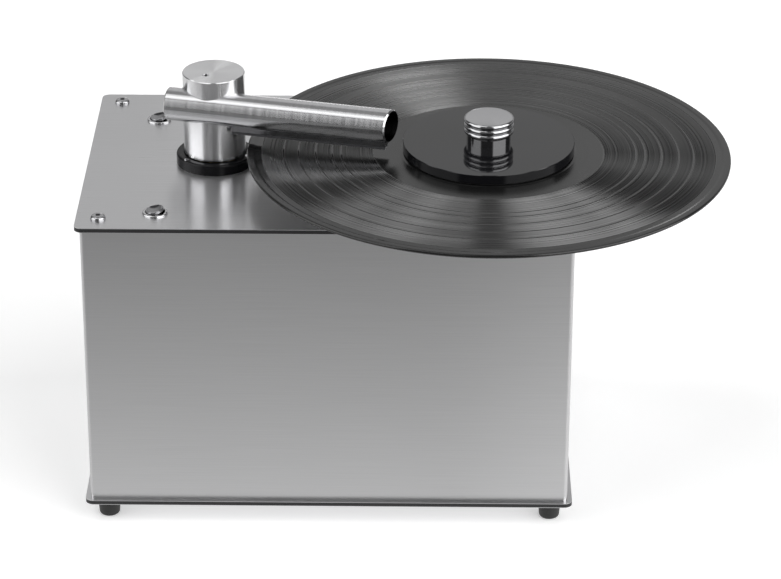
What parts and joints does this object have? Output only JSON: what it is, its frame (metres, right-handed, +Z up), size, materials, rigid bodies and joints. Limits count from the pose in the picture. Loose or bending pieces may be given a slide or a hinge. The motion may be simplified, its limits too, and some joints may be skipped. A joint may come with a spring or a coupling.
{
  "type": "record_cleaning_machine",
  "caption": "Vacuum record cleaning machine: sheet-metal case, driven spindle with a record under a screwed clamp, and a swinging suction arm over an inner waste tank.",
  "frame": {"origin": "middle of the whole footprint, record included, on the surface that the feet rest on", "axes": "+Z up, +X to the right along the width, -Y towards the user's side with the two corner screws nearest"},
  "size_m": [0.4043, 0.3016, 0.2687],
  "materials": {
    "brushed_skin": "brushed along the width, clear",
    "panel_core": "black core of the sandwich panel, sawn edge",
    "case_metal": "fine satin, folded sheet",
    "polished_metal": "polished, turned",
    "steel_fastener": "bright zinc",
    "turned_steel": "turned and ground",
    "grey_alloy": "machined",
    "bearing_brass": "plain bearing",
    "black_acetal": "turned, satin",
    "black_gloss": "gloss",
    "record_vinyl": "grooved vinyl",
    "black_rubber": "moulded",
    "velvet": "short pile",
    "tank_plastic": "natural polyethylene",
    "motor_paint": "satin enamel",
    "spring_steel": "drawn wire",
    "terminal_plastic": "moulded"
  },
  "bodies": {
    "root": {"top_plate_core": "panel_core", "top_plate_skins": "brushed_skin", "base_plate_core": "panel_core", "base_plate_skins": "brushed_skin", "case_wrap": "case_metal", "rear_panel": "case_metal", "rear_panel_screws": "steel_fastener", "corner_pillars": "grey_alloy", "top_screws": "steel_fastener", "feet": "black_rubber", "foot_screws": "steel_fastener", "bearing_housing": "grey_alloy", "spindle_bearings": "bearing_brass", "bearing_screws": "steel_fastener", "motor_standoffs": "steel_fastener", "gear_motor": "grey_alloy", "arm_flange": "black_gloss", "flange_screws": "steel_fastener", "stem_manifold": "black_acetal", "stem_seal": "black_rubber", "suction_hose": "black_rubber", "waste_tank": "tank_plastic", "tank_lid": "tank_plastic", "vacuum_hose": "black_rubber", "turbine_mount_ring": "black_rubber", "turbine_motor": "motor_paint", "turbine_housing": "grey_alloy", "motor_switch_body": "polished_metal", "suction_switch_body": "polished_metal", "switch_nuts": "black_acetal", "mains_inlet": "black_acetal", "inlet_screws": "steel_fastener", "terminal_block": "terminal_plastic", "motor_capacitor": "grey_alloy"},
    "turntable": {"spindle": "turned_steel", "platter": "grey_alloy", "platter_mat": "black_rubber", "record": "record_vinyl", "motor_shaft": "turned_steel", "shaft_coupling": "grey_alloy"},
    "clamp": {"clamp_disc": "black_gloss", "clamp_gasket": "black_rubber"},
    "knob": {"clamp_knob": "polished_metal"},
    "arm_carrier": {"arm_sleeve": "bearing_brass", "sleeve_clip": "spring_steel", "lift_spring": "spring_steel"},
    "arm": {"arm_post": "polished_metal", "arm_stem": "turned_steel", "stem_keys": "turned_steel", "suction_tube": "polished_metal", "tube_end_plug": "black_acetal", "lip_bar": "grey_alloy", "velvet_strips": "velvet", "tube_grub_screw": "steel_fastener"},
    "motor_rocker_body": {"motor_rocker": "polished_metal"},
    "suction_rocker_body": {"suction_rocker": "polished_metal"},
    "impeller": {"turbine_impeller": "grey_alloy"},
    "drain_cap_body": {"drain_cap": "black_rubber"}
  },
  "joints": [
    {"name": "turntable_spin", "type": "hinge", "parent": "root", "child": "turntable", "pos_m": [0.05135, 0, 0.2075], "axis": [0, 0, 1], "continuous": true},
    {"name": "clamp_lift", "type": "slide", "parent": "turntable", "child": "clamp", "axis": [0, 0, 1], "range_m": [0, 0.02]},
    {"name": "knob_turn", "type": "hinge", "parent": "clamp", "child": "knob", "pos_m": [0.05135, 0, 0.2375], "axis": [0, 0, 1], "continuous": true},
    {"name": "arm_swing", "type": "hinge", "parent": "root", "child": "arm_carrier", "pos_m": [-0.12135, 0.0316, 0.2075], "axis": [0, 0, 1], "range_deg": [-6, 104]},
    {"name": "arm_lift", "type": "slide", "parent": "arm_carrier", "child": "arm", "axis": [0, 0, 1], "range_m": [-0.0043, 0], "stiffness_N_per_m": 500, "springref_m": 0.014, "deforming": ["lift_spring"]},
    {"name": "motor_rocker_tilt", "type": "hinge", "parent": "root", "child": "motor_rocker_body", "pos_m": [-0.15385, -0.048, 0.2079], "axis": [0, 1, 0], "range_deg": [0, 24]},
    {"name": "suction_rocker_tilt", "type": "hinge", "parent": "root", "child": "suction_rocker_body", "pos_m": [-0.16155, 0.0952, 0.2079], "axis": [0, 1, 0], "range_deg": [0, 24]},
    {"name": "impeller_spin", "type": "hinge", "parent": "root", "child": "impeller", "pos_m": [0.00285, 0.0714, 0.09], "axis": [0, 0, 1], "continuous": true},
    {"name": "drain_cap_pull", "type": "slide", "parent": "root", "child": "drain_cap_body", "axis": [0, 1, 0], "range_m": [0, 0.015]}
  ]
}
